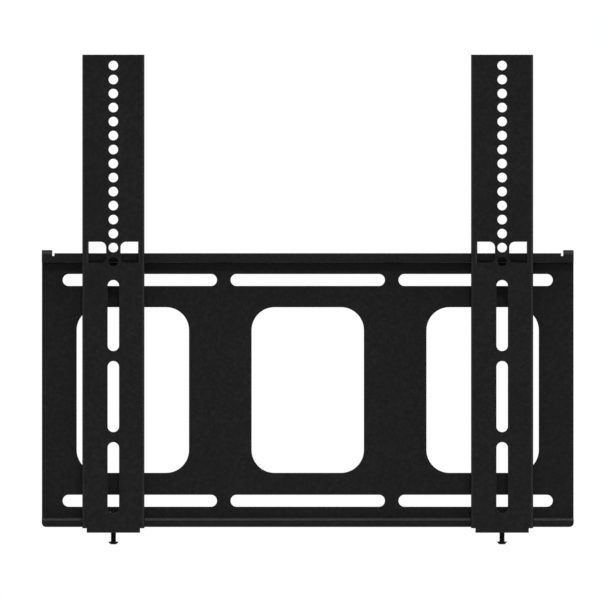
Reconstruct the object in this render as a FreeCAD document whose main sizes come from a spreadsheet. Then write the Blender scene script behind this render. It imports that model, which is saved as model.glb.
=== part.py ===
import FreeCAD, Part
import math
import os
import Sketcher

# Fixed tv bracket: a folded wall plate, two arms that hook over its rail, and a safety screw in each arm's foot.
# Millimetres. The origin is the middle of the wall slots on the plate's back, so the wall is the plane Y = 0,
# the front looks along -Y, +X is to the right as seen from the front, and +Z is up.
# Depths are measured from the wall towards the front.

SIZES = {
    # Folded sheet: thickness and inside radius of every fold
    "sheet": 2.0,
    "bend": 0.9,
    # Wall plate, with its ledges, rail and lip
    "plate_width": 482.6,
    "rail_gap": 14.0,
    "ledge_height": 115.75,
    "rail_top": 124.5,
    "lip_bottom": 123.9,
    "lip_corner": 4.0,
    # Stop tabs at the rail's ends, leaning back from it by a fold in degrees
    "stop_width": 9.6,
    "stop_bend": 123.2,
    "stop_fold": 60.0,
    "stop_flap": 3.4,
    "relief_width": 1.84,
    "relief_floor": 122.0,
    # Slots for the wall screws
    "slot_length": 140.0,
    "slot_height": 10.8,
    "slot_pitch": 152.4,
    "slot_row": 100.2,
    # Windows
    "window_width": 101.9,
    "window_height": 150.3,
    "window_pitch": 158.75,
    "window_centre": 0.3,
    "window_corner": 20.8,
    # Arms
    "arm_spacing": 352.56,
    "arm_width": 56.4,
    "arm_front": 25.4,
    "arm_top": 304.5,
    "flange_bottom": 125.0,
    "flange_corner": 3.0,
    "clearance": 0.3,
    # Foot folded back under the lip
    "foot_width": 48.4,
    "foot_bottom": 129.1,
    "foot_back": 4.5,
    "foot_corner": 6.0,
    # Round holes and slots for the screen's screws
    "hole_diameter": 8.57,
    "hole_pitch": 12.7,
    "hole_top": 294.66,
    "hole_count": 15,
    "arm_slot_length": 64.35,
    "arm_slot_width": 10.31,
    "arm_slot_pitch": 73.5,
    "arm_slot_top": 67.95,
    "arm_slot_count": 3,
    # Hooks lanced from the web
    "hook_inset": 6.55,
    "hook_bottom": 115.3,
    "hook_top": 134.8,
    "hook_corner": 5.0,
    "hook_back": 6.5,
    "hook_root": 124.7,
    "finger_bottom": 118.5,
    "finger_corner": 2.0,
    # Safety screws and the clinch nuts that they run in
    "screw_depth": 10.0,
    "screw_diameter": 4.83,
    "screw_length": 19.05,
    "screw_tip": 118.05,
    "tip_chamfer": 0.6,
    "head_diameter": 9.17,
    "head_height": 2.57,
    "crown_diameter": 4.8,
    "socket_width": 3.18,
    "socket_depth": 1.5,
    "nut_diameter": 8.6,
    "nut_height": 2.3,
    "pilot_diameter": 6.35,
    "pilot_length": 1.9,
    "bore_diameter": 4.95,
}


class Size:
    """A length that carries its value and the sheet expression that gives it."""

    def __init__(self, value, text):
        self.value = value
        self.text = text

    def joined(self, sign, other, value):
        return Size(value, f"({self.text} {sign} {size_of(other).text})")

    def __add__(self, other):
        return self.joined("+", other, self.value + size_of(other).value)

    def __sub__(self, other):
        return self.joined("-", other, self.value - size_of(other).value)

    def __mul__(self, other):
        return self.joined("*", other, self.value * size_of(other).value)

    def __truediv__(self, other):
        return self.joined("/", other, self.value / size_of(other).value)

    def __neg__(self):
        return Size(-self.value, f"(-1 * {self.text})")


def size_of(number):
    """A plain number as a Size."""
    if isinstance(number, Size):
        return number
    return Size(float(number), f"({float(number)!r})")


def sine(degrees):
    return Size(math.sin(math.radians(degrees.value)), f"sin({degrees.text} * 1 deg)")


def cosine(degrees):
    return Size(math.cos(math.radians(degrees.value)), f"cos({degrees.text} * 1 deg)")


class Dimensions:
    """The sheet's cells by name."""

    def __init__(self, sheet, sizes):
        for row, (name, value) in enumerate(sizes.items(), start=1):
            sheet.set(f"A{row}", name)
            sheet.set(f"B{row}", str(value))
            sheet.setAlias(f"B{row}", name)
            setattr(self, name, Size(float(value), f"{sheet.Name}.{name}"))


doc = FreeCAD.newDocument("fixed_tv_bracket")
dims = Dimensions(doc.addObject("Spreadsheet::Sheet", "dims"), SIZES)
doc.recompute()

# Sizes worked out from the driving ones
half_plate = dims.plate_width / 2
rail_front = dims.rail_gap + dims.sheet
ledge_back = dims.ledge_height + dims.sheet
outer_bend = dims.bend + dims.sheet
web_back = dims.arm_front - dims.sheet
flange_back = rail_front + dims.clearance
half_arm = dims.arm_width / 2
fold_line = half_arm - outer_bend
foot_top = dims.foot_bottom - dims.sheet
screw_seat = dims.screw_tip + dims.screw_length
ZERO = size_of(0)


# Sketches

def new_body(name):
    body = doc.addObject("PartDesign::Body", name)
    body.Label = name
    return body


def origin_feature(body, role):
    return next(feature for feature in body.Origin.OriginFeatures if feature.Role == role)


def new_sketch(body, name, plane, offset=ZERO):
    """A sketch on one of the body's origin planes, moved along that plane's normal."""
    sketch = body.newObject("Sketcher::SketchObject", name)
    sketch.AttachmentSupport = [(origin_feature(body, plane), "")]
    sketch.MapMode = "FlatFace"
    sketch.setExpression("AttachmentOffset.Base.z", offset.text)
    return sketch


def constrain(sketch, size, kind, *where):
    number = sketch.addConstraint(Sketcher.Constraint(kind, *where, size.value))
    sketch.setExpression(f"Constraints[{number}]", size.text)


def pin_point(sketch, curve, end, x, y):
    constrain(sketch, x, "DistanceX", -1, 1, curve, end)
    constrain(sketch, y, "DistanceY", -1, 1, curve, end)


def vector(point):
    return FreeCAD.Vector(point[0].value, point[1].value, 0)


def arc_between(start, end, radius, turn):
    """The short arc from start to end: turn is 1 for anticlockwise and -1 for clockwise."""
    chord = end - start
    rise = math.sqrt(max(radius ** 2 - chord.Length ** 2 / 4, 0))
    across = FreeCAD.Vector(-chord.y, chord.x, 0).normalize()
    centre = (start + end) / 2 + across * (rise * turn)
    first, last = (start, end) if turn > 0 else (end, start)
    angles = [math.atan2(point.y - centre.y, point.x - centre.x) for point in (first, last)]
    circle = Part.Circle(centre, FreeCAD.Vector(0, 0, 1), radius)
    return Part.ArcOfCircle(circle, angles[0], angles[1])


def draw_path(sketch, path):
    """A closed loop of points (x, y, radius, turn); radius and turn shape the stretch to the next point."""
    ends = []
    for place, point in enumerate(path):
        start = vector(point)
        end = vector(path[(place + 1) % len(path)])
        if point[2] is None:
            curve = sketch.addGeometry(Part.LineSegment(start, end))
            ends.append((curve, 1, 2))
        else:
            curve = sketch.addGeometry(arc_between(start, end, point[2].value, point[3]))
            ends.append((curve, 1, 2) if point[3] > 0 else (curve, 2, 1))
    for place, (curve, first, last) in enumerate(ends):
        following = ends[(place + 1) % len(ends)]
        sketch.addConstraint(Sketcher.Constraint("Coincident", curve, last, following[0], following[1]))
        pin_point(sketch, curve, first, path[place][0], path[place][1])
        if path[place][2] is not None:
            constrain(sketch, path[place][2], "Radius", curve)


def rounded_path(corners):
    """A path round square corners (x, y, radius), where a radius of None leaves the corner sharp."""
    path = []
    for place, (x, y, radius) in enumerate(corners):
        if radius is None:
            path.append((x, y, None, None))
            continue
        before = corners[place - 1]
        after = corners[(place + 1) % len(corners)]
        arrive = direction(before, corners[place])
        leave = direction(corners[place], after)
        turn = 1 if arrive[0] * leave[1] - arrive[1] * leave[0] > 0 else -1
        path.append((x - radius * arrive[0], y - radius * arrive[1], radius, turn))
        path.append((x + radius * leave[0], y + radius * leave[1], None, None))
    return [point for place, point in enumerate(path) if not repeats_next(path, place)]


def direction(start, end):
    """Unit step along X or Y from one square corner to the next."""
    step = vector(end) - vector(start)
    return round(step.x / step.Length), round(step.y / step.Length)


def repeats_next(path, place):
    """True for a straight stretch of no length, left where two roundings meet."""
    step = vector(path[(place + 1) % len(path)]) - vector(path[place])
    return path[place][2] is None and step.Length < 1e-6


def draw_outline(sketch, corners):
    draw_path(sketch, rounded_path(corners))


def draw_box(sketch, left, right, bottom, top, radius=None):
    corners = [(left, bottom), (right, bottom), (right, top), (left, top)]
    draw_outline(sketch, [(x, y, radius) for x, y in corners])


def draw_circle(sketch, x, y, diameter):
    circle = Part.Circle(FreeCAD.Vector(x.value, y.value, 0), FreeCAD.Vector(0, 0, 1), diameter.value / 2)
    curve = sketch.addGeometry(circle)
    pin_point(sketch, curve, 3, x, y)
    constrain(sketch, diameter, "Diameter", curve)


# Features

def pad(body, name, sketch, length, both_ways=False):
    feature = body.newObject("PartDesign::Pad", name)
    feature.Profile = sketch
    feature.setExpression("Length", length.text)
    if both_ways:
        feature.SideType = "Symmetric"
    doc.recompute()
    return feature


def cut(body, name, sketch, depth=None):
    """A pocket right through the body, or to a depth along the sketch's normal."""
    before = body.Shape.Volume
    feature = body.newObject("PartDesign::Pocket", name)
    feature.Profile = sketch
    if depth is None:
        feature.SideType = "Symmetric"
        feature.Type = "ThroughAll"
    else:
        feature.Reversed = True
        feature.setExpression("Length", depth.text)
    doc.recompute()
    if body.Shape.Volume >= before:
        raise RuntimeError(f"{name} cuts nothing")
    return feature


def revolve(body, name, sketch):
    """A full turn about the body's own Z axis."""
    feature = body.newObject("PartDesign::Revolution", name)
    feature.Profile = sketch
    feature.ReferenceAxis = (origin_feature(body, "Z_Axis"), [""])
    feature.Angle = 360
    doc.recompute()
    return feature


def row(body, name, original, axis, count, pitch, reverse=False):
    feature = body.newObject("PartDesign::LinearPattern", name)
    feature.Originals = [original]
    feature.Direction = (origin_feature(body, axis), [""])
    feature.Reversed = reverse
    feature.setExpression("Length", (pitch * (count - 1)).text)
    feature.Occurrences = count
    body.Tip = feature
    doc.recompute()
    return feature


def mirror(body, name, originals, plane):
    feature = body.newObject("PartDesign::Mirrored", name)
    feature.Originals = originals
    feature.MirrorPlane = (origin_feature(body, plane), [""])
    body.Tip = feature
    doc.recompute()
    return feature


def round_edges(body, name, radius, axis, spots):
    """Round the straight edges along an axis that pass through the given (a, b) spots of the other two axes."""
    base = body.Tip
    others = [letter for letter in "xyz" if letter != axis]
    names = []
    for number, edge in enumerate(base.Shape.Edges, start=1):
        ends = [vertex.Point for vertex in edge.Vertexes]
        if len(ends) < 2:
            continue
        for spot in spots:
            gaps = [abs(getattr(end, letter) - want.value)
                    for end in ends for letter, want in zip(others, spot)]
            if max(gaps) < 1e-4:
                names.append(f"Edge{number}")
    if not names:
        raise RuntimeError(f"{name} finds no edge")
    feature = body.newObject("PartDesign::Fillet", name)
    feature.Base = (base, names)
    feature.setExpression("Radius", radius.text)
    doc.recompute()
    return feature


# Sub-parts

def make_wall_plate():
    body = new_body("wall_plate")
    # Section of the folded sheet, from the rail's top round to the lip and back
    section = new_sketch(body, "section", "YZ_Plane")
    draw_outline(section, [
        (-dims.rail_gap, dims.rail_top, None),
        (-dims.rail_gap, ledge_back, dims.bend),
        (ZERO, ledge_back, outer_bend),
        (ZERO, -ledge_back, outer_bend),
        (-dims.rail_gap, -ledge_back, dims.bend),
        (-dims.rail_gap, -dims.lip_bottom, None),
        (-rail_front, -dims.lip_bottom, None),
        (-rail_front, -dims.ledge_height, outer_bend),
        (-dims.sheet, -dims.ledge_height, dims.bend),
        (-dims.sheet, dims.ledge_height, dims.bend),
        (-rail_front, dims.ledge_height, outer_bend),
        (-rail_front, dims.rail_top, None),
    ])
    pad(body, "folded_sheet", section, dims.plate_width, both_ways=True)

    # Two rows of wall slots
    for side, name in ((1, "upper"), (-1, "lower")):
        slot = new_sketch(body, f"{name}_slot", "XZ_Plane")
        left = -dims.slot_pitch - dims.slot_length / 2
        middle = dims.slot_row * side
        draw_box(slot, left, left + dims.slot_length, middle - dims.slot_height / 2,
                 middle + dims.slot_height / 2, dims.slot_height / 2)
        first = cut(body, f"{name}_slot_cut", slot)
        row(body, f"{name}_slots", first, "X_Axis", 3, dims.slot_pitch)

    # Windows
    window = new_sketch(body, "window", "XZ_Plane")
    left = -dims.window_pitch - dims.window_width / 2
    bottom = dims.window_centre - dims.window_height / 2
    draw_box(window, left, left + dims.window_width, bottom, bottom + dims.window_height, dims.window_corner)
    first = cut(body, "window_cut", window)
    row(body, "windows", first, "X_Axis", 3, dims.window_pitch)

    # Stop tabs, parted from the rail by a relief notch and folded back at its ends
    stop_start = half_plate - dims.stop_width
    relief = new_sketch(body, "relief", "XZ_Plane")
    relief_start = stop_start - dims.relief_width
    relief_top = dims.rail_top + dims.sheet
    draw_outline(relief, [
        (relief_start, dims.relief_floor, None),
        (stop_start, dims.relief_floor, None),
        (stop_start, dims.stop_bend, None),
        (half_plate + dims.sheet, dims.stop_bend, None),
        (half_plate + dims.sheet, relief_top, None),
        (relief_start, relief_top, None),
    ])
    relief_cut = cut(body, "relief_cut", relief)
    stop = new_sketch(body, "stop", "YZ_Plane", stop_start)
    back = sine(dims.stop_fold)
    up = cosine(dims.stop_fold)
    bend_centre = dims.bend - dims.rail_gap
    outer_end = (bend_centre - outer_bend * up, dims.stop_bend + outer_bend * back)
    inner_end = (bend_centre - dims.bend * up, dims.stop_bend + dims.bend * back)
    flap = (dims.stop_flap * back, dims.stop_flap * up)
    draw_path(stop, [
        (-rail_front, dims.stop_bend, outer_bend, -1),
        (*outer_end, None, None),
        (outer_end[0] + flap[0], outer_end[1] + flap[1], None, None),
        (inner_end[0] + flap[0], inner_end[1] + flap[1], None, None),
        (*inner_end, dims.bend, 1),
        (-dims.rail_gap, dims.stop_bend, None, None),
    ])
    stop_pad = pad(body, "stop_tab", stop, dims.stop_width)
    mirror(body, "both_stops", [relief_cut, stop_pad], "YZ_Plane")

    round_edges(body, "lip_corners", dims.lip_corner, "y",
                [(half_plate, -dims.lip_bottom), (-half_plate, -dims.lip_bottom)])
    return body


def make_arm(name, side):
    body = new_body(name)
    # Channel: the web and its two side flanges
    channel = new_sketch(body, "channel", "XY_Plane", -dims.flange_bottom)
    inner = half_arm - dims.sheet
    draw_outline(channel, [
        (-half_arm, -dims.arm_front, outer_bend),
        (half_arm, -dims.arm_front, outer_bend),
        (half_arm, -flange_back, None),
        (inner, -flange_back, None),
        (inner, -web_back, dims.bend),
        (-inner, -web_back, dims.bend),
        (-inner, -flange_back, None),
        (-half_arm, -flange_back, None),
    ])
    pad(body, "web_and_flanges", channel, dims.arm_top + dims.flange_bottom)
    round_edges(body, "flange_corners", dims.flange_corner, "x",
                [(-flange_back, dims.arm_top), (-flange_back, -dims.flange_bottom)])

    # Foot: the web's tongue, folded back under the lip
    foot = new_sketch(body, "foot", "YZ_Plane")
    draw_outline(foot, [
        (-dims.arm_front, -dims.flange_bottom, None),
        (-dims.arm_front, -dims.foot_bottom, outer_bend),
        (-dims.foot_back, -dims.foot_bottom, None),
        (-dims.foot_back, -foot_top, None),
        (-web_back, -foot_top, dims.bend),
        (-web_back, -dims.flange_bottom, None),
    ])
    pad(body, "folded_foot", foot, dims.foot_width, both_ways=True)
    round_edges(body, "foot_corners", dims.foot_corner, "z",
                [(dims.foot_width / 2, -dims.foot_back), (-dims.foot_width / 2, -dims.foot_back)])
    nut_hole = new_sketch(body, "nut_hole", "XY_Plane")
    draw_circle(nut_hole, ZERO, -dims.screw_depth, dims.pilot_diameter)
    cut(body, "nut_hole_cut", nut_hole)

    # Round holes and slots for the screen's screws
    hole = new_sketch(body, "hole", "XZ_Plane")
    draw_circle(hole, ZERO, dims.hole_top, dims.hole_diameter)
    first = cut(body, "hole_cut", hole)
    row(body, "holes", first, "Z_Axis", SIZES["hole_count"], dims.hole_pitch, reverse=True)
    slot = new_sketch(body, "slot", "XZ_Plane")
    half_width = dims.arm_slot_width / 2
    half_length = dims.arm_slot_length / 2
    draw_box(slot, -half_width, half_width, dims.arm_slot_top - half_length, dims.arm_slot_top + half_length,
             half_width)
    first = cut(body, "slot_cut", slot)
    row(body, "slots", first, "Z_Axis", SIZES["arm_slot_count"], dims.arm_slot_pitch, reverse=True)

    # Hooks: each is cut free on three sides and folded back hard against the flange's own fold
    window = new_sketch(body, "hook_window", "XZ_Plane")
    draw_outline(window, [
        (dims.hook_inset, dims.hook_bottom, dims.hook_corner),
        (fold_line, dims.hook_bottom, None),
        (fold_line, dims.hook_top, None),
        (dims.hook_inset, dims.hook_top, dims.hook_corner),
    ])
    window_cut = cut(body, "hook_window_cut", window)
    hook = new_sketch(body, "hook", "XY_Plane", dims.hook_bottom)
    hook_face = fold_line - outer_bend
    draw_outline(hook, [
        (fold_line, -dims.arm_front, None),
        (fold_line, -web_back, None),
        (hook_face + dims.sheet, -web_back, dims.bend),
        (hook_face + dims.sheet, -dims.hook_back, None),
        (hook_face, -dims.hook_back, None),
        (hook_face, -dims.arm_front, outer_bend),
    ])
    hook_pad = pad(body, "folded_hook", hook, dims.hook_top - dims.hook_bottom)
    mirror(body, "both_hooks", [window_cut, hook_pad], "YZ_Plane")

    # Notch that drops over the rail, and the finger behind it, cut short above the ledge
    notch = new_sketch(body, "rail_notch", "YZ_Plane")
    finger_front = dims.rail_gap - dims.clearance
    below = dims.hook_bottom - dims.sheet
    draw_outline(notch, [
        (-flange_back, below, None),
        (-flange_back, dims.hook_root, None),
        (-finger_front, dims.hook_root, None),
        (-finger_front, dims.finger_bottom, None),
        (-(dims.hook_back - dims.sheet), dims.finger_bottom, None),
        (-(dims.hook_back - dims.sheet), below, None),
    ])
    cut(body, "rail_notch_cut", notch)
    round_edges(body, "hook_top_corner", dims.hook_corner, "x", [(-dims.hook_back, dims.hook_top)])
    round_edges(body, "finger_corners", dims.finger_corner, "x",
                [(-dims.hook_back, dims.finger_bottom), (-finger_front, dims.finger_bottom)])
    body.setExpression("Placement.Base.x", (dims.arm_spacing / 2 * side).text)
    return body


def place_at_screw(body, side):
    body.setExpression("Placement.Base.x", (dims.arm_spacing / 2 * side).text)
    body.setExpression("Placement.Base.y", (-dims.screw_depth).text)


def make_nut(name, side):
    body = new_body(name)
    profile = new_sketch(body, "profile", "XZ_Plane")
    bore = dims.bore_diameter / 2
    pilot = dims.pilot_diameter / 2
    outside = dims.nut_diameter / 2
    draw_outline(profile, [
        (bore, -foot_top - dims.pilot_length, None),
        (pilot, -foot_top - dims.pilot_length, None),
        (pilot, -foot_top, None),
        (outside, -foot_top, None),
        (outside, -foot_top + dims.nut_height, None),
        (bore, -foot_top + dims.nut_height, None),
    ])
    revolve(body, "turned_nut", profile)
    place_at_screw(body, side)
    return body


def make_screw(name, side):
    body = new_body(name)
    profile = new_sketch(body, "profile", "XZ_Plane")
    shank = dims.screw_diameter / 2
    head = dims.head_diameter / 2
    head_end = -screw_seat - dims.head_height
    # The button head's dome is drawn as a cone
    points = [
        (ZERO, head_end),
        (dims.crown_diameter / 2, head_end),
        (head, -screw_seat),
        (shank, -screw_seat),
        (shank, -dims.screw_tip - dims.tip_chamfer),
        (shank - dims.tip_chamfer, -dims.screw_tip),
        (ZERO, -dims.screw_tip),
    ]
    draw_path(profile, [(x, z, None, None) for x, z in points])
    revolve(body, "turned_screw", profile)
    # Hexagon socket in the head
    socket = new_sketch(body, "socket", "XY_Plane", head_end)
    across_corners = dims.socket_width / math.sqrt(3)
    turns = [math.radians(60 * corner) for corner in range(6)]
    draw_path(socket, [(across_corners * math.cos(turn), across_corners * math.sin(turn), None, None)
                       for turn in turns])
    cut(body, "socket_cut", socket, dims.socket_depth)
    place_at_screw(body, side)
    return body


bodies = [make_wall_plate()]
for hand, side in (("left", -1), ("right", 1)):
    bodies.append(make_arm(f"{hand}_arm", side))
    bodies.append(make_nut(f"{hand}_clinch_nut", side))
    bodies.append(make_screw(f"{hand}_safety_screw", side))
doc.recompute()

# Check every object, then write each sub-part
failed = [item.Label for item in doc.Objects if {"Invalid", "Error"} & set(item.State)]
loose = [item.Label for item in doc.Objects
         if item.TypeId == "Sketcher::SketchObject" and not item.FullyConstrained]
bad = [body.Label for body in bodies
       if body.Shape.isNull() or not body.Shape.isValid() or len(body.Shape.Solids) != 1]
if failed or loose or bad:
    raise RuntimeError(f"failed {failed}, not fully constrained {loose}, bad shape {bad}")

os.makedirs("parts", exist_ok=True)
for body in bodies:
    body.Shape.exportStep(f"parts/{body.Label}.step")
    print(body.Label, round(body.Shape.Volume, 1), body.Shape.BoundBox)
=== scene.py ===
import math

import bpy
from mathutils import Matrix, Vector
from mathutils.geometry import delaunay_2d_cdt


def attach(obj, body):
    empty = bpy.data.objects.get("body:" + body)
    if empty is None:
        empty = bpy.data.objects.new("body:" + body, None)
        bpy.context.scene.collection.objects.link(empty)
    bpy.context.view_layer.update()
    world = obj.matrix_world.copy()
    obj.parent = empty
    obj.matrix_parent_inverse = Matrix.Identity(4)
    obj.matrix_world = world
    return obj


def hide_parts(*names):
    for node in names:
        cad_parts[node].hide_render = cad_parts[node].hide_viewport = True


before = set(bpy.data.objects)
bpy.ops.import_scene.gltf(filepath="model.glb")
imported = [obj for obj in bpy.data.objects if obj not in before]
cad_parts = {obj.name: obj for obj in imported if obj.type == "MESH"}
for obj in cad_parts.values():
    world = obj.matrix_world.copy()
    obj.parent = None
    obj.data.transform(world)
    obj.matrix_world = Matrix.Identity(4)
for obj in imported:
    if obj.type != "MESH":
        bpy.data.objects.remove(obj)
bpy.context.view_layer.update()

# Fixed tv bracket in black powder coat. Lengths are in millimetres until a mesh is written, in the CAD's own
# frame: the wall is the plane Y = 0, the front looks along -Y and +Z is up.

MM = 0.001

# Folded sheet: thickness, radii of its bends inside, outside and in its middle, and of its edges
SHEET = 2.0
BEND = 0.9
OUTER_BEND = BEND + SHEET
MID_BEND = BEND + SHEET / 2
EDGE = 0.2

# Fineness of the meshes
BEND_STEPS = 8
EDGE_STEPS = 3
CORNER_STEPS = 12
AROUND = 48

# Tolerances of lengths, and the angles over which a corner is sharp
ZERO = 1e-9
SAME_POINT = 1e-6
MERGE = 1e-5
NEAR = 1e-4
TOUCH = 1e-3
WELD_PLACES_PER_MM = 2000
SHARP = math.radians(45)
TURNED_SHARP = math.radians(38)
# Least divisor of a mitre, which keeps the rim short at a very sharp corner
MITRE_LIMIT = 0.2

# Below, depths are measured from the wall and heights from Z = 0. LIP_BOTTOM, FLANGE_BOTTOM and FOOT_MID are
# measured downwards. MID is the middle of the sheet.

# Wall plate
HALF_PLATE = 241.3
RAIL_MID = 15.0
WEB_MID = 1.0
LEDGE_MID = 116.75
RAIL_TOP = 124.5
LIP_BOTTOM = 123.9
LIP_CORNER = 4.0
STOP_WIDTH = 9.6
STOP_BEND = 123.2
STOP_FOLD = math.radians(60)
STOP_FLAP = 3.4
RELIEF_WIDTH = 1.84
RELIEF_FLOOR = 122.0
SLOT_LENGTH = 140.0
SLOT_HEIGHT = 10.8
SLOT_PITCH = 152.4
SLOT_ROW = 100.2
WINDOW_WIDTH = 101.9
WINDOW_HEIGHT = 150.3
WINDOW_PITCH = 158.75
WINDOW_CENTRE = 0.3
WINDOW_CORNER = 20.8

# Arms
ARM_X = 176.28
HALF_ARM = 28.2
ARM_FRONT = 25.4
ARM_TOP = 304.5
FLANGE_BOTTOM = 125.0
FLANGE_BACK = 16.3
FLANGE_CORNER = 3.0
FOLD_LINE = HALF_ARM - OUTER_BEND
# From here to the fold line the rim of a hook's window narrows to nothing
NEAR_FOLD = FOLD_LINE - 3 * EDGE
WEB_DEPTH = ARM_FRONT - SHEET / 2
HALF_FOOT = 24.2
FOOT_MID = 128.1
FOOT_BACK = 4.5
FOOT_CORNER = 6.0
HOLE = 8.57
HOLE_PITCH = 12.7
HOLE_TOP = 294.66
HOLE_COUNT = 15
ARM_SLOT_LENGTH = 64.35
ARM_SLOT_WIDTH = 10.31
ARM_SLOT_PITCH = 73.5
ARM_SLOT_TOP = 67.95
ARM_SLOT_COUNT = 3
HOOK_INSET = 6.55
HOOK_BOTTOM = 115.3
HOOK_TOP = 134.8
HOOK_CORNER = 5.0
HOOK_BACK = 6.5
HOOK_ROOT = 124.7
FINGER_FRONT = 13.7
FINGER_BOTTOM = 118.5
FINGER_CORNER = 2.0

# Safety screws, with their button heads
SCREW_DEPTH = 10.0
SCREW = 4.83
SCREW_TIP = -118.05
SCREW_SEAT = -137.1
HEAD = 9.17
HEAD_HEIGHT = 2.57
HEAD_SIDE = 0.35
HEAD_FILLET = 0.25
HEAD_EASE = 0.12
CROWN = 4.8
DOME_STEPS = 9
DOME_CROWDING = 1.5
DOME_INSET = 0.06
DOME_GAP = 0.1
SOCKET = 3.18
SOCKET_DEPTH = 1.5
SOCKET_POINT = 0.45
SOCKET_POINT_RADIUS = 0.02

# Threads: crest and flank are shares of half a pitch
THREAD_PITCH = 25.4 / 32
THREAD_DEPTH = 0.32
THREAD_START = SCREW_SEAT + 0.4
THREAD_RUN_OUT = 1.2
THREAD_CREST = 0.45
THREAD_FLANK = 0.40
ROWS_PER_PITCH = 10
TIP_CHAMFER = 0.7
TIP_CUT = THREAD_DEPTH * 1.1

# Clinch nuts
PILOT = 6.35
NUT = 8.6
NUT_BORE = 4.95
NUT_TOP = -124.8
NUT_SEAT = -127.1
NUT_END = -129.0
NUT_LEAD_IN = 0.25
NUT_LEAD_OUT = 0.35
PILOT_CHAMFER = 0.15
SEAT_CHAMFER = 0.08
GROOVE_LOW = NUT_SEAT + 0.75
GROOVE_HIGH = NUT_SEAT + 1.14
GROOVE_DEPTH = 0.12
NUT_ROUNDING = 0.4
NUT_ROUNDING_MIDDLE = 0.12


# Folded sheets

class Fold:
    """The middle line of a folded sheet: straight runs joined by bends, measured along its length.

    side is 1 where the sheet's front is on the left of the way along it, and -1 where it is on the right."""

    def __init__(self, corners, side, start=0.0):
        self.side = side
        self.runs = []
        self.bends = []
        here = Vector(corners[0])
        length = start
        for place, corner in enumerate(corners[1:], start=1):
            corner = Vector(corner)
            along = (corner - Vector(corners[place - 1])).normalized()
            last = place == len(corners) - 1
            leave = along if last else (Vector(corners[place + 1]) - corner).normalized()
            turn = 0.0 if last else along.angle(leave)
            reach = MID_BEND * math.tan(turn / 2)
            end = corner - along * reach
            run = (end - here).dot(along)
            self.runs.append((length, length + run, here, along, None))
            length += run
            here = end
            if not last:
                arc = MID_BEND * turn
                inward = (leave - along * math.cos(turn)) / math.sin(turn)
                self.runs.append((length, length + arc, end, along, inward))
                self.bends.append((length, length + arc))
                length += arc
                here = corner + leave * reach
        self.end = length

    def at(self, length):
        """(point, way along, front normal, hollow) at a length.

        hollow is 1 half way round a bend that is hollow in front, -1 where it is hollow at the back, and 0 on
        the flat."""
        for low, high, here, along, inward in self.runs:
            if length <= high + ZERO:
                break
        if inward is None:
            return here + along * (length - low), along, self.front(along), 0.0
        angle = (length - low) / MID_BEND
        point = here + along * (MID_BEND * math.sin(angle)) + inward * (MID_BEND * (1 - math.cos(angle)))
        way = along * math.cos(angle) + inward * math.sin(angle)
        hollow = self.front(along).dot(inward) * math.sin(math.pi * (length - low) / (high - low))
        return point, way, self.front(way), hollow

    def front(self, way):
        return Vector((-way.y, way.x)) * self.side

    def cuts(self):
        """Lengths at which the bends are divided."""
        return [low + (high - low) * step / BEND_STEPS
                for low, high in self.bends for step in range(BEND_STEPS + 1)]


def rounded(corners):
    """A closed outline round square corners (u, v, radius)."""
    points = []
    for place, (u, v, radius) in enumerate(corners):
        corner = Vector((u, v))
        if not radius:
            points.append(corner)
            continue
        arrive = (corner - Vector(corners[place - 1][:2])).normalized()
        leave = (Vector(corners[(place + 1) % len(corners)][:2]) - corner).normalized()
        centre = corner - arrive * radius + leave * radius
        for step in range(CORNER_STEPS + 1):
            angle = math.pi / 2 * step / CORNER_STEPS
            points.append(centre - leave * (radius * math.cos(angle)) + arrive * (radius * math.sin(angle)))
    return [point for place, point in enumerate(points) if (point - points[place - 1]).length > SAME_POINT]


def box(left, right, bottom, top, radius):
    return rounded([(left, bottom, radius), (right, bottom, radius),
                    (right, top, radius), (left, top, radius)])


TURNS = [math.tau * number / AROUND for number in range(AROUND)]


def circle(u, v, diameter):
    radius = diameter / 2
    return [Vector((u + radius * math.cos(turn), v + radius * math.sin(turn))) for turn in TURNS]


def sides(loop):
    """Each point of a loop with the point after it."""
    return zip(loop, loop[1:] + loop[:1])


def area(loop):
    return sum(a.x * b.y - b.x * a.y for a, b in sides(loop)) / 2


def contains(loops, point):
    inside = False
    for loop in loops:
        for a, b in sides(loop):
            if (a.y > point.y) != (b.y > point.y):
                inside ^= point.x < a.x + (b.x - a.x) * (point.y - a.y) / (b.y - a.y)
    return inside


def divided(loop, cuts_u, cuts_v):
    """The loop with a point wherever a straight stretch crosses a cut, clear of the rims at sharp corners."""
    steps = [after - point for point, after in sides(loop)]
    clear = []
    for place, step in enumerate(steps):
        is_sharp = steps[place - 1].angle(step) > SHARP
        clear.append(EDGE + TOUCH if is_sharp else NEAR)
    points = []
    for a, step, (low, high) in zip(loop, steps, sides(clear)):
        points.append(a)
        shares = [(cut - a.x) / step.x for cut in cuts_u if abs(step.x) > ZERO]
        shares += [(cut - a.y) / step.y for cut in cuts_v if abs(step.y) > ZERO]
        inside = sorted(share for share in shares if low < share * step.length < step.length - high)
        points += [a + step * share for share in inside]
    return points


def joins(a, b, open_at):
    """True for an edge on one of the (u, low, high) lines at which another chart joins on."""
    return any(abs(a.x - line) < TOUCH and abs(b.x - line) < TOUCH
               and low - TOUCH < min(a.y, b.y) and max(a.y, b.y) < high + TOUCH
               for line, low, high in open_at)


def rim_of(loop, open_at):
    """(point, way inward, width of the rounded rim) for each point of a loop; a joined edge has no rim."""
    rim = []
    for number, point in enumerate(loop):
        before = loop[number - 1]
        after = loop[(number + 1) % len(loop)]
        arrive = (point - before).normalized()
        leave = (after - point).normalized()
        left = Vector((-arrive.y, arrive.x)) + Vector((-leave.y, leave.x))
        inward = left / max(left.length_squared / 2, MITRE_LIMIT)
        is_joined = joins(before, point, open_at) or joins(point, after, open_at)
        rim.append((point, inward, 0.0 if is_joined else EDGE))
    return rim


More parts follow.
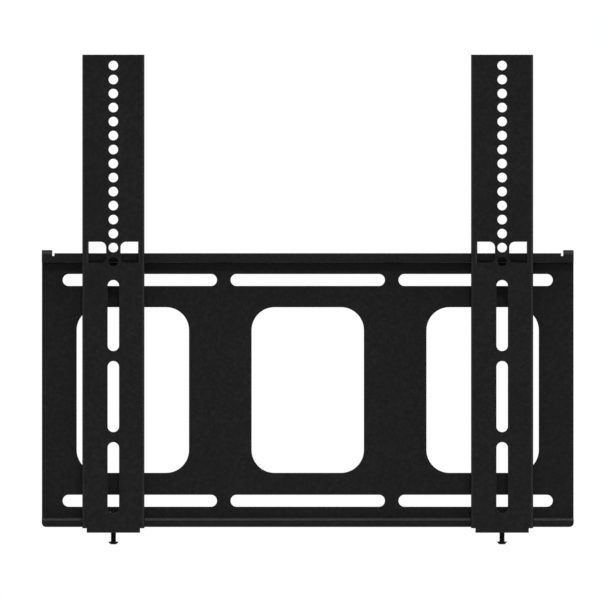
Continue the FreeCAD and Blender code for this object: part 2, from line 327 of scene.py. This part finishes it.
def triangles_in(loops, cuts_u, cuts_v):
    """Triangles between the loops, with edges along the cuts, as lists of (loop, number) corners."""
    keys = [(loop, number) for loop, points in enumerate(loops) for number in range(len(points))]
    points = [loops[loop][number] for loop, number in keys]
    where = {key: place for place, key in enumerate(keys)}
    edges = [(where[loop, number], where[loop, (number + 1) % len(loops[loop])]) for loop, number in keys]
    for axis, cuts in ((0, cuts_u), (1, cuts_v)):
        for cut in cuts:
            line = sorted((point[1 - axis], place) for place, point in enumerate(points)
                          if abs(point[axis] - cut) < TOUCH)
            for (_, a), (_, b) in zip(line, line[1:]):
                if contains(loops, (points[a] + points[b]) / 2):
                    edges.append((a, b))
    _, _, faces, origins, _, _ = delaunay_2d_cdt(points, edges, [], 0, MERGE)
    triangles = []
    for face in faces:
        corners = [origins[corner][0] for corner in face]
        middle = sum((points[corner] for corner in corners), Vector((0, 0))) / 3
        if not contains(loops, middle):
            continue
        if area([points[corner] for corner in corners]) < 0:
            corners.reverse()
        triangles.append([keys[corner] for corner in corners])
    return triangles


def add_object(name, data):
    item = bpy.data.objects.new(name, data)
    bpy.context.scene.collection.objects.link(item)
    return item


def smooth_mesh(name, points, faces):
    """A smooth mesh from points in millimetres."""
    mesh = bpy.data.meshes.new(name)
    mesh.from_pydata([point * MM for point in points], [], faces)
    mesh.polygons.foreach_set("use_smooth", [True] * len(mesh.polygons))
    return mesh


class Weld:
    """Vertices by place, so that charts which meet share them.

    Each has a normal, a share of rim (rounded edges and the outside of bends, which the coat lightens as
    painted highlight) and a share of crease (the inside of bends, which the coat darkens as painted shade)."""

    def __init__(self):
        self.index = {}
        self.points = []
        self.normals = []
        self.rims = []
        self.creases = []
        self.faces = []

    def vertex(self, point, normal, rim, crease):
        key = tuple(round(value * WELD_PLACES_PER_MM) for value in point)
        if key not in self.index:
            self.index[key] = len(self.points)
            self.points.append(point)
            self.normals.append(Vector((0, 0, 0)))
            self.rims.append(rim)
            self.creases.append(crease)
        number = self.index[key]
        self.normals[number] += normal
        return number

    def face(self, corners):
        kept = [corner for place, corner in enumerate(corners) if corner != corners[place - 1]]
        if len(set(kept)) > 2:
            self.faces.append(kept)

    def piece(self, name, offset):
        mesh = smooth_mesh(name, [point + offset for point in self.points], self.faces)
        for attribute, shares in (("rim", self.rims), ("crease", self.creases)):
            mesh.attributes.new(attribute, "FLOAT", "POINT").data.foreach_set("value", shares)
        mesh.normals_split_custom_set_from_vertices([normal.normalized() for normal in self.normals])
        return add_object(name, mesh)


RIM_ANGLES = [math.pi / 2 * step / EDGE_STEPS for step in range(EDGE_STEPS + 1)]


def add_chart(weld, outline, holes, place, cuts_u, cuts_v, open_at=()):
    """Both faces and the rounded rims of one flat chart of a sheet.

    place(u, v) gives a point of the middle surface, the two ways along it, its front normal and how hollow it
    is. Edges that lie on an open_at line join another chart."""
    loops = [outline if area(outline) > 0 else outline[::-1]]
    loops += [hole if area(hole) < 0 else hole[::-1] for hole in holes]
    rims = [rim_of(divided(loop, cuts_u, cuts_v), open_at) for loop in loops]

    def spot(point, inward, edge, angle, back):
        """A vertex of the rounded rim: angle 0 is on the face and 90 degrees on the wall."""
        at = point + inward * (edge * (1 - math.sin(angle)))
        centre, way_u, way_v, front, hollow = place(at.x, at.y)
        if back:
            front, hollow = -front, -hollow
        depth = edge * (1 - math.cos(angle))
        out = (way_u * -inward.x + way_v * -inward.y).normalized()
        normal = front * math.cos(angle) + out * math.sin(angle)
        # The rim share is where the coat is lightened with painted highlight
        rim_share = max(math.sin(angle), -hollow)
        # The crease share is where the coat is darkened with painted shade and made rougher
        return weld.vertex(centre + front * (SHEET / 2 - depth), normal, rim_share, max(0.0, hollow))

    front_and_back = {}
    for loop, rim in enumerate(rims):
        columns = []
        for number, (point, inward, edge) in enumerate(rim):
            column = [spot(point, inward, edge, angle, False) for angle in RIM_ANGLES]
            column += [spot(point, inward, edge, angle, True) for angle in reversed(RIM_ANGLES)]
            columns.append(column)
            front_and_back[loop, number] = (column[0], column[-1])
        for (column, after), (here, following) in zip(sides(columns), sides(rim)):
            if joins(here[0], following[0], open_at):
                continue
            for a, b, c, d in zip(column, column[1:], after[1:], after):
                weld.face([a, b, c, d])

    flat = [[point + inward * edge for point, inward, edge in rim] for rim in rims]
    for corners in triangles_in(flat, cuts_u, cuts_v):
        weld.face([front_and_back[corner][0] for corner in corners])
        weld.face([front_and_back[corner][1] for corner in reversed(corners)])


def upright(point, way, front, hollow, z):
    """A spot at a height on a sheet whose folds all stand upright, for add_chart's place."""
    return (Vector((point.x, point.y, z)), Vector((way.x, way.y, 0)), Vector((0, 0, 1)),
            Vector((front.x, front.y, 0)), hollow)


def level(point, way, front, hollow, x):
    """A spot at a width on a sheet whose folds all run from side to side, for add_chart's place."""
    return (Vector((x, point.x, point.y)), Vector((1, 0, 0)), Vector((0, way.x, way.y)),
            Vector((0, front.x, front.y)), hollow)


def make_wall_plate():
    below = [(-RAIL_MID, -LIP_BOTTOM), (-RAIL_MID, -LEDGE_MID), (-WEB_MID, -LEDGE_MID),
             (-WEB_MID, LEDGE_MID), (-RAIL_MID, LEDGE_MID)]
    reach = MID_BEND * math.tan(STOP_FOLD / 2)
    fold = Vector((-RAIL_MID, STOP_BEND + reach))
    tip = fold + Vector((math.sin(STOP_FOLD), math.cos(STOP_FOLD))) * (reach + STOP_FLAP)
    section = Fold([*below, (-RAIL_MID, RAIL_TOP)], 1)
    end_section = Fold([*below, fold, tip], 1)
    stop = HALF_PLATE - STOP_WIDTH
    relief = stop - RELIEF_WIDTH

    def place(u, v):
        part = section if abs(u) < stop - RELIEF_WIDTH / 2 else end_section
        return level(*part.at(v), u)

    # Lengths along the section that stand for height 0 on the web, and on the rail if it went down so far
    web_zero = section.bends[1][1] + LEDGE_MID - MID_BEND
    rail_zero = section.bends[3][1] - LEDGE_MID - MID_BEND
    rail_top = rail_zero + RAIL_TOP
    relief_floor = rail_zero + RELIEF_FLOOR
    stop_top = end_section.end
    outline = rounded([
        (-HALF_PLATE, 0, LIP_CORNER), (HALF_PLATE, 0, LIP_CORNER), (HALF_PLATE, stop_top, 0),
        (stop, stop_top, 0), (stop, relief_floor, 0), (relief, relief_floor, 0), (relief, rail_top, 0),
        (-relief, rail_top, 0), (-relief, relief_floor, 0), (-stop, relief_floor, 0),
        (-stop, stop_top, 0), (-HALF_PLATE, stop_top, 0)])
    holes = []
    for column in (-1, 0, 1):
        middle = column * SLOT_PITCH
        for row in (-1, 1):
            height = web_zero + row * SLOT_ROW
            holes.append(box(middle - SLOT_LENGTH / 2, middle + SLOT_LENGTH / 2,
                             height - SLOT_HEIGHT / 2, height + SLOT_HEIGHT / 2, SLOT_HEIGHT / 2))
        middle = column * WINDOW_PITCH
        height = web_zero + WINDOW_CENTRE
        holes.append(box(middle - WINDOW_WIDTH / 2, middle + WINDOW_WIDTH / 2,
                         height - WINDOW_HEIGHT / 2, height + WINDOW_HEIGHT / 2, WINDOW_CORNER))
    weld = Weld()
    add_chart(weld, outline, holes, place, [], end_section.cuts())
    return weld.piece("wall_plate_sheet", Vector((0, 0, 0)))


def add_hook(weld, side):
    """One hook, folded back from the flange's own fold line."""
    turned = FOLD_LINE - MID_BEND
    path = [(side * turned, -HOOK_BACK), (side * turned, -WEB_DEPTH), (side * FOLD_LINE, -WEB_DEPTH)]
    hook = Fold(path if side > 0 else path[::-1], -1)

    def place(u, v):
        return upright(*hook.at(u), v)

    def along(depth):
        """Length along the hook at a depth from the wall."""
        run = depth - HOOK_BACK
        return run if side > 0 else hook.end - run

    root = hook.end if side > 0 else 0.0
    outline = rounded([
        (root, HOOK_BOTTOM, 0), (root, HOOK_TOP, 0), (along(HOOK_BACK), HOOK_TOP, HOOK_CORNER),
        (along(HOOK_BACK), FINGER_BOTTOM, FINGER_CORNER),
        (along(FINGER_FRONT), FINGER_BOTTOM, FINGER_CORNER), (along(FINGER_FRONT), HOOK_ROOT, 0),
        (along(FLANGE_BACK), HOOK_ROOT, 0), (along(FLANGE_BACK), HOOK_BOTTOM, 0)])
    add_chart(weld, outline, [], place, hook.cuts(), [], [(root, HOOK_BOTTOM, HOOK_TOP)])


def make_arm(name, x):
    across = [(-HALF_ARM + SHEET / 2, -FLANGE_BACK), (-HALF_ARM + SHEET / 2, -WEB_DEPTH),
              (HALF_ARM - SHEET / 2, -WEB_DEPTH), (HALF_ARM - SHEET / 2, -FLANGE_BACK)]
    half_flat = Fold(across, -1).end / 2
    channel = Fold(across, -1, -half_flat)
    foot_run = WEB_DEPTH - FOOT_BACK - MID_BEND
    foot_low = -FOOT_MID + MID_BEND - MID_BEND * math.pi / 2 - foot_run
    foot_path = [(-FOOT_BACK, -FOOT_MID), (-WEB_DEPTH, -FOOT_MID), (-WEB_DEPTH, ARM_TOP)]
    foot = Fold(foot_path, 1, foot_low)

    def place(u, v):
        if v > foot.bends[0][1]:
            return upright(*channel.at(u), v)
        return level(*foot.at(v), channel.at(u)[0].x)

    outline = rounded([
        (-half_flat, -FLANGE_BOTTOM, FLANGE_CORNER), (-HALF_FOOT, -FLANGE_BOTTOM, 0),
        (-HALF_FOOT, foot_low, FOOT_CORNER), (HALF_FOOT, foot_low, FOOT_CORNER),
        (HALF_FOOT, -FLANGE_BOTTOM, 0), (half_flat, -FLANGE_BOTTOM, FLANGE_CORNER),
        (half_flat, ARM_TOP, FLANGE_CORNER), (-half_flat, ARM_TOP, FLANGE_CORNER)])
    holes = [circle(0, HOLE_TOP - HOLE_PITCH * number, HOLE) for number in range(HOLE_COUNT)]
    holes.append(circle(0, foot_low + SCREW_DEPTH - FOOT_BACK, PILOT))
    for number in range(ARM_SLOT_COUNT):
        middle = ARM_SLOT_TOP - ARM_SLOT_PITCH * number
        holes.append(box(-ARM_SLOT_WIDTH / 2, ARM_SLOT_WIDTH / 2, middle - ARM_SLOT_LENGTH / 2,
                         middle + ARM_SLOT_LENGTH / 2, ARM_SLOT_WIDTH / 2))
    for side in (-1, 1):
        holes.append(rounded([
            (side * HOOK_INSET, HOOK_BOTTOM, HOOK_CORNER), (side * NEAR_FOLD, HOOK_BOTTOM, 0),
            (side * FOLD_LINE, HOOK_BOTTOM, 0), (side * FOLD_LINE, HOOK_TOP, 0),
            (side * NEAR_FOLD, HOOK_TOP, 0), (side * HOOK_INSET, HOOK_TOP, HOOK_CORNER)]))
    fold_lines = [(side * FOLD_LINE, HOOK_BOTTOM, HOOK_TOP) for side in (-1, 1)]
    weld = Weld()
    add_chart(weld, outline, holes, place, channel.cuts(), foot.cuts(), fold_lines)
    for side in (-1, 1):
        add_hook(weld, side)
    return weld.piece(name, Vector((x, 0, 0)))


# Turned pieces

def turned_piece(name, rings, x, is_tube):
    """A mesh of rings of points, from the first to the last; a tube's last ring joins its first."""
    last = len(rings) - 1
    pairs = [(row, row + 1) for row in range(last)]
    if is_tube:
        pairs.append((last, 0))
    faces = []
    for low, high in pairs:
        for number in range(AROUND):
            after = (number + 1) % AROUND
            faces.append((low * AROUND + number, low * AROUND + after,
                          high * AROUND + after, high * AROUND + number))
    if not is_tube:
        faces.append(tuple(reversed(range(AROUND))))
        faces.append(tuple(range(last * AROUND, (last + 1) * AROUND)))
    offset = Vector((x, -SCREW_DEPTH, 0))
    mesh = smooth_mesh(name, [point + offset for ring in rings for point in ring], faces)
    mesh.set_sharp_from_angle(angle=TURNED_SHARP)
    return add_object(name, mesh)


def shaped_ring(radius_at, z):
    """A ring of points at a height, whose radius is a function of the turn."""
    return [Vector((radius_at(turn) * math.cos(turn), radius_at(turn) * math.sin(turn), z)) for turn in TURNS]


def round_ring(radius, z):
    return shaped_ring(lambda turn: radius, z)


def hexagon(across, margin=0.0):
    """Radius by turn of a hexagon of a width across its flats, grown by a margin."""
    def radius_at(turn):
        return across / 2 / math.cos((turn + math.pi / 6) % (math.pi / 3) - math.pi / 6) + margin
    return radius_at


def held(share):
    """A share held between 0 and 1."""
    return min(1.0, max(0.0, share))


def thread(z):
    """Radius by turn of a unified thread, which runs out under the head and at the chamfered tip."""
    fade = held((z - THREAD_START) / THREAD_RUN_OUT)
    chamfer = SCREW / 2 - TIP_CUT * held(1 - (SCREW_TIP - z) / TIP_CHAMFER)

    def radius_at(turn):
        phase = (z / THREAD_PITCH - turn / math.tau) % 1.0
        fall = held((abs(phase - 0.5) * 2 - THREAD_CREST) / THREAD_FLANK)
        return min(SCREW / 2 - THREAD_DEPTH * fall * fade, chamfer)
    return radius_at


def make_screw(name, x):
    """From the bottom of the socket, round the head and up the thread to the tip."""
    shank, crown, half_head = SCREW / 2, CROWN / 2, HEAD / 2
    head_end = SCREW_SEAT - HEAD_HEIGHT
    socket_floor = head_end + SOCKET_DEPTH
    rings = [round_ring(SOCKET_POINT_RADIUS, socket_floor + SOCKET_POINT),
             shaped_ring(hexagon(SOCKET), socket_floor), shaped_ring(hexagon(SOCKET), head_end + HEAD_EASE),
             shaped_ring(hexagon(SOCKET, HEAD_EASE), head_end), round_ring(crown, head_end)]

    # Dome, on a sphere through the crown's rim and the head's side
    rise = HEAD_HEIGHT - HEAD_SIDE
    centre = ((half_head ** 2 - crown ** 2) / rise + rise) / 2
    sphere = math.hypot(centre, crown)
    for step in range(1, DOME_STEPS + 1):
        radius = crown + (half_head - crown) * (1 - (1 - step / DOME_STEPS) ** DOME_CROWDING)
        inset = DOME_INSET if step == DOME_STEPS else 0.0
        rings.append(round_ring(radius - inset, head_end + centre - math.sqrt(sphere ** 2 - radius ** 2)))
    rings += [round_ring(half_head, SCREW_SEAT - HEAD_SIDE + DOME_GAP),
              round_ring(half_head, SCREW_SEAT - HEAD_EASE), round_ring(half_head - HEAD_EASE, SCREW_SEAT),
              round_ring(shank + HEAD_FILLET, SCREW_SEAT), round_ring(shank, SCREW_SEAT + HEAD_FILLET)]

    length = SCREW_TIP - THREAD_START
    rows = round(length / THREAD_PITCH * ROWS_PER_PITCH)
    for row in range(rows + 1):
        z = THREAD_START + length * row / rows
        rings.append(shaped_ring(thread(z), z))
    return turned_piece(name, rings, x, is_tube=False)


def make_nut(name, x):
    bore, pilot, outside = NUT_BORE / 2, PILOT / 2, NUT / 2
    profile = [
        (bore, NUT_END + NUT_LEAD_IN), (bore + NUT_LEAD_IN, NUT_END),
        (pilot - PILOT_CHAMFER, NUT_END), (pilot, NUT_END + PILOT_CHAMFER),
        (pilot, NUT_SEAT), (outside - SEAT_CHAMFER, NUT_SEAT), (outside, NUT_SEAT + SEAT_CHAMFER),
        (outside, GROOVE_LOW), (outside - GROOVE_DEPTH, GROOVE_LOW + GROOVE_DEPTH),
        (outside - GROOVE_DEPTH, GROOVE_HIGH - GROOVE_DEPTH), (outside, GROOVE_HIGH),
        (outside, NUT_TOP - NUT_ROUNDING), (outside - NUT_ROUNDING_MIDDLE, NUT_TOP - NUT_ROUNDING_MIDDLE),
        (outside - NUT_ROUNDING, NUT_TOP), (bore + NUT_LEAD_OUT, NUT_TOP), (bore, NUT_TOP - NUT_LEAD_OUT)]
    return turned_piece(name, [round_ring(radius, z) for radius, z in profile], x, is_tube=True)


# Materials

# Noise by name: scale per metre, detail and roughness
COAT_NOISE = {"grain": (1500.0, 2.0, 0.5), "mottle": (330.0, 3.0, 0.6), "cloud": (22.0, 2.0, 0.5)}
OXIDE_NOISE = (900.0, 3.0, 0.5)
ZINC_NOISE = (700.0, 3.0, 0.5)
FLOOR_NOISE = (6.0, 2.0, 0.5)

# Powder coat: its deepest grey, then what lies over it, as (what lays it on, from, to, largest share, grey)
COAT_DEEP = 0.0054
COAT_LAYERS = [("grain", 0.38, 0.64, 1.0, 0.0096), ("mottle", 0.40, 0.75, 0.7, 0.0148),
               # The rim layer lightens the rounded edges and the outside of bends: mostly painted highlight,
               # partly the coat worn thin on its edges
               ("cloud", 0.42, 0.70, 0.35, 0.0066), ("rim", 0.2, 1.0, 0.5, 0.0160),
               # The crease layer darkens the inside of bends: painted shade
               ("crease", 0.0, 1.0, 0.5, 0.0052)]
COAT_BLUE = 1.02
# Roughness: the range of a value, and the range of roughness that it gives
COAT_ROUGHNESS = ((0.3, 0.75), (0.28, 0.38))
CREASE_ROUGHNESS = ((0.0, 0.5), (0.28, 0.92))
# Bumps: distance in metres and strength
MOTTLE_BUMP = (0.00006, 0.35)
GRAIN_BUMP = (0.00015, 0.6)
COATED_SPECULAR = 0.05

# Black oxide and zinc: two colours, and the range of the noise from one to the other
OXIDE_DARK = (0.0030, 0.0030, 0.0034, 1.0)
OXIDE_STAINED = (0.0065, 0.0062, 0.0062, 1.0)
OXIDE_STAIN = (0.35, 0.7)
OXIDE_ROUGHNESS = ((0.3, 0.7), (0.30, 0.46))
OXIDE_BUMP = (0.00002, 0.3)

ZINC_COOL = (0.50, 0.51, 0.54, 1.0)
ZINC_PLAIN = (0.60, 0.60, 0.60, 1.0)
ZINC_STAIN = (0.3, 0.7)
ZINC_ROUGHNESS = ((0.3, 0.7), (0.26, 0.40))
ZINC_BUMP = (0.00002, 0.4)
TOOL_MARKS_SCALE = 900.0
TOOL_MARKS_DISTORTION = 0.4

FULL = (0.0, 1.0)


class Graph:
    """A node tree, with shorthand for the nodes that the materials and the world use."""

    def __init__(self, tree):
        self.nodes = tree.nodes
        self.links = tree.links

    def where(self):
        """The object's own coordinates, in metres."""
        return self.nodes.new("ShaderNodeTexCoord").outputs["Object"]

    def attribute(self, name):
        attribute = self.nodes.new("ShaderNodeAttribute")
        attribute.attribute_name = name
        return attribute.outputs["Fac"]

    def noise(self, where, scale, detail, roughness):
        texture = self.nodes.new("ShaderNodeTexNoise")
        texture.inputs["Scale"].default_value = scale
        texture.inputs["Detail"].default_value = detail
        texture.inputs["Roughness"].default_value = roughness
        self.links.new(where, texture.inputs["Vector"])
        return texture.outputs["Fac"]

    def spread(self, value, source, target):
        """A value carried from one range to another, and held there."""
        mapped = self.nodes.new("ShaderNodeMapRange")
        sockets = ("From Min", "From Max", "To Min", "To Max")
        for socket, number in zip(sockets, (*source, *target)):
            mapped.inputs[socket].default_value = number
        self.links.new(value, mapped.inputs["Value"])
        return mapped.outputs["Result"]

    def calculate(self, operation, first, second):
        result = self.nodes.new("ShaderNodeMath")
        result.operation = operation
        self.links.new(first, result.inputs[0])
        self.links.new(second, result.inputs[1])
        return result.outputs[0]

    def blend(self, share, first, second):
        """A mix of two colours, each a tuple or another node's output."""
        mixed = self.nodes.new("ShaderNodeMix")
        mixed.data_type = "RGBA"
        self.links.new(share, mixed.inputs["Factor"])
        targets = [socket for socket in mixed.inputs if socket.type == "RGBA"]
        for target, colour in zip(targets, (first, second)):
            if isinstance(colour, tuple):
                target.default_value = colour
            else:
                self.links.new(colour, target)
        return next(socket for socket in mixed.outputs if socket.type == "RGBA")

    def bumped(self, layers):
        """Normal from layers of (height, (distance, strength)), the coarsest first."""
        normal = None
        for height, (distance, strength) in layers:
            bump = self.nodes.new("ShaderNodeBump")
            bump.inputs["Distance"].default_value = distance
            bump.inputs["Strength"].default_value = strength
            self.links.new(height, bump.inputs["Height"])
            if normal is not None:
                self.links.new(normal, bump.inputs["Normal"])
            normal = bump.outputs["Normal"]
        return normal


def new_material(name):
    material = bpy.data.materials.new(name)
    material.use_nodes = True
    graph = Graph(material.node_tree)
    return material, graph, graph.nodes["Principled BSDF"]


def coat_grey(grey):
    return (grey, grey, grey * COAT_BLUE, 1.0)


def coat_material():
    """Black powder coat: a fine pebbled skin, faintly mottled, with painted highlight over the edges and the
    outside of bends, and painted shade and a duller, rougher skin in the creases.
    """
    material, graph, shader = new_material("black_powder_coat")
    where = graph.where()
    values = {name: graph.noise(where, *settings) for name, settings in COAT_NOISE.items()}
    for name in ("rim", "crease"):
        values[name] = graph.attribute(name)
    colour = coat_grey(COAT_DEEP)
    for name, low, high, share, grey in COAT_LAYERS:
        laid_on = graph.spread(values[name], (low, high), (0.0, share))
        colour = graph.blend(laid_on, colour, coat_grey(grey))
    graph.links.new(colour, shader.inputs["Base Color"])
    skin = graph.spread(values["mottle"], *COAT_ROUGHNESS)
    dull = graph.spread(values["crease"], *CREASE_ROUGHNESS)
    graph.links.new(graph.calculate("MAXIMUM", skin, dull), shader.inputs["Roughness"])
    shader.inputs["Specular IOR Level"].default_value = COATED_SPECULAR
    normal = graph.bumped([(values["mottle"], MOTTLE_BUMP), (values["grain"], GRAIN_BUMP)])
    graph.links.new(normal, shader.inputs["Normal"])
    return material


def oxide_material():
    """Oiled black oxide over machined steel."""
    material, graph, shader = new_material("black_oxide_steel")
    stain = graph.noise(graph.where(), *OXIDE_NOISE)
    colour = graph.blend(graph.spread(stain, OXIDE_STAIN, FULL), OXIDE_DARK, OXIDE_STAINED)
    graph.links.new(colour, shader.inputs["Base Color"])
    graph.links.new(graph.spread(stain, *OXIDE_ROUGHNESS), shader.inputs["Roughness"])
    shader.inputs["Specular IOR Level"].default_value = COATED_SPECULAR
    graph.links.new(graph.bumped([(stain, OXIDE_BUMP)]), shader.inputs["Normal"])
    return material


def zinc_material():
    """Clear zinc plate over turned steel."""
    material, graph, shader = new_material("clear_zinc_plate")
    where = graph.where()
    tool_marks = graph.nodes.new("ShaderNodeTexWave")
    tool_marks.bands_direction = "Z"
    tool_marks.inputs["Scale"].default_value = TOOL_MARKS_SCALE
    tool_marks.inputs["Distortion"].default_value = TOOL_MARKS_DISTORTION
    graph.links.new(where, tool_marks.inputs["Vector"])
    stain = graph.noise(where, *ZINC_NOISE)
    shader.inputs["Metallic"].default_value = 1.0
    colour = graph.blend(graph.spread(stain, ZINC_STAIN, FULL), ZINC_COOL, ZINC_PLAIN)
    graph.links.new(colour, shader.inputs["Base Color"])
    graph.links.new(graph.spread(stain, *ZINC_ROUGHNESS), shader.inputs["Roughness"])
    graph.links.new(graph.bumped([(tool_marks.outputs["Fac"], ZINC_BUMP)]), shader.inputs["Normal"])
    return material


def dress(piece, material, node, body):
    piece.data.materials.append(material)
    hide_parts(node)
    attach(piece, body)


COAT, OXIDE, ZINC = coat_material(), oxide_material(), zinc_material()
dress(make_wall_plate(), COAT, "wall_plate", "wall_plate")
for hand, x in (("left", -ARM_X), ("right", ARM_X)):
    dress(make_arm(f"{hand}_arm_sheet", x), COAT, f"{hand}_arm", f"{hand}_arm")
    dress(make_nut(f"{hand}_nut_turned", x), ZINC, f"{hand}_clinch_nut", f"{hand}_arm")
    dress(make_screw(f"{hand}_screw_threaded", x), OXIDE, f"{hand}_safety_screw", f"{hand}_screw")


# Stage, light and camera, in metres, with the lens and the sensor in millimetres

# The frame's width at the point that is in its middle, VIEW
FRAME_WIDTH = 0.5470
VIEW_X = -0.00566
VIEW_Y = -0.016
VIEW_Z = 0.08248
LENS = 1500.0
SENSOR = 36.0
CLIP_END = 100.0
FLOOR_Z = -0.30
FLOOR_RADIUS = 6.0
FLOOR_SIDES = 96
FLOOR_DARK = (0.69, 0.69, 0.69, 1.0)
FLOOR_PALE = (0.73, 0.73, 0.73, 1.0)
FLOOR_ROUGHNESS = 0.9
FLOOR_FADE = (0.6, 2.2)
WHITE = (1.0, 1.0, 1.0, 1.0)
FILL = 0.3
# Suns: (name, strength, spread, rise over the floor, turn to the right), angles in degrees
LAMPS = [("key", 1.16, 5.0, 31.8, 4.5), ("overhead", 2.09, 18.0, 74.0, 0.0),
         ("right", 1.25, 20.0, 10.0, 75.0), ("left", 0.55, 20.0, 10.0, -80.0),
         ("back", 1.4, 20.0, 25.0, 160.0)]


def make_floor():
    turns = [math.tau * number / FLOOR_SIDES for number in range(FLOOR_SIDES)]
    points = [(FLOOR_RADIUS * math.cos(turn), FLOOR_RADIUS * math.sin(turn), FLOOR_Z) for turn in turns]
    mesh = bpy.data.meshes.new("floor")
    mesh.from_pydata(points, [], [tuple(range(FLOOR_SIDES))])
    material, graph, shader = new_material("pale_floor")
    where = graph.where()
    colour = graph.blend(graph.noise(where, *FLOOR_NOISE), FLOOR_DARK, FLOOR_PALE)
    graph.links.new(colour, shader.inputs["Base Color"])
    shader.inputs["Roughness"].default_value = FLOOR_ROUGHNESS
    shader.inputs["Specular IOR Level"].default_value = 0.0

    # Far from the object the floor turns into the white background, for camera rays alone
    distance = graph.nodes.new("ShaderNodeVectorMath")
    distance.operation = "LENGTH"
    graph.links.new(where, distance.inputs[0])
    far = graph.spread(distance.outputs["Value"], FLOOR_FADE, FULL)
    seen = graph.nodes.new("ShaderNodeLightPath").outputs["Is Camera Ray"]
    white = graph.nodes.new("ShaderNodeEmission")
    mixed = graph.nodes.new("ShaderNodeMixShader")
    graph.links.new(graph.calculate("MULTIPLY", far, seen), mixed.inputs["Fac"])
    graph.links.new(shader.outputs["BSDF"], mixed.inputs[1])
    graph.links.new(white.outputs["Emission"], mixed.inputs[2])
    graph.links.new(mixed.outputs["Shader"], graph.nodes["Material Output"].inputs["Surface"])
    mesh.materials.append(material)
    floor = add_object("floor", mesh)


def make_world():
    """White for the camera and for reflections, and a soft even fill for the rest."""
    world = bpy.data.worlds.new("studio")
    bpy.context.scene.world = world
    world.use_nodes = True
    graph = Graph(world.node_tree)
    path = graph.nodes.new("ShaderNodeLightPath").outputs
    seen = path["Is Camera Ray"]
    for other in ("Is Glossy Ray", "Is Transmission Ray"):
        seen = graph.calculate("MAXIMUM", seen, path[other])
    background = graph.nodes["Background"]
    background.inputs["Color"].default_value = WHITE
    graph.links.new(graph.spread(seen, FULL, (FILL, 1.0)), background.inputs["Strength"])


def make_lamp(name, strength, width, rise, turn):
    data = bpy.data.lights.new(name, "SUN")
    data.energy = strength
    data.angle = math.radians(width)
    rise, turn = math.radians(rise), math.radians(turn)
    towards = Vector((math.sin(turn) * math.cos(rise), -math.cos(turn) * math.cos(rise), math.sin(rise)))
    add_object(name, data).rotation_euler = towards.to_track_quat("Z", "Y").to_euler()


def make_camera():
    data = bpy.data.cameras.new("camera")
    data.sensor_width = SENSOR
    data.lens = LENS
    data.clip_end = CLIP_END
    camera = add_object("camera", data)
    distance = FRAME_WIDTH * LENS / SENSOR
    camera.location = (VIEW_X, VIEW_Y - distance, VIEW_Z)
    camera.rotation_euler = (math.pi / 2, 0, 0)
    bpy.context.scene.camera = camera


make_floor()
make_world()
for lamp in LAMPS:
    make_lamp(*lamp)
make_camera()
bpy.context.scene.view_settings.view_transform = "Standard"
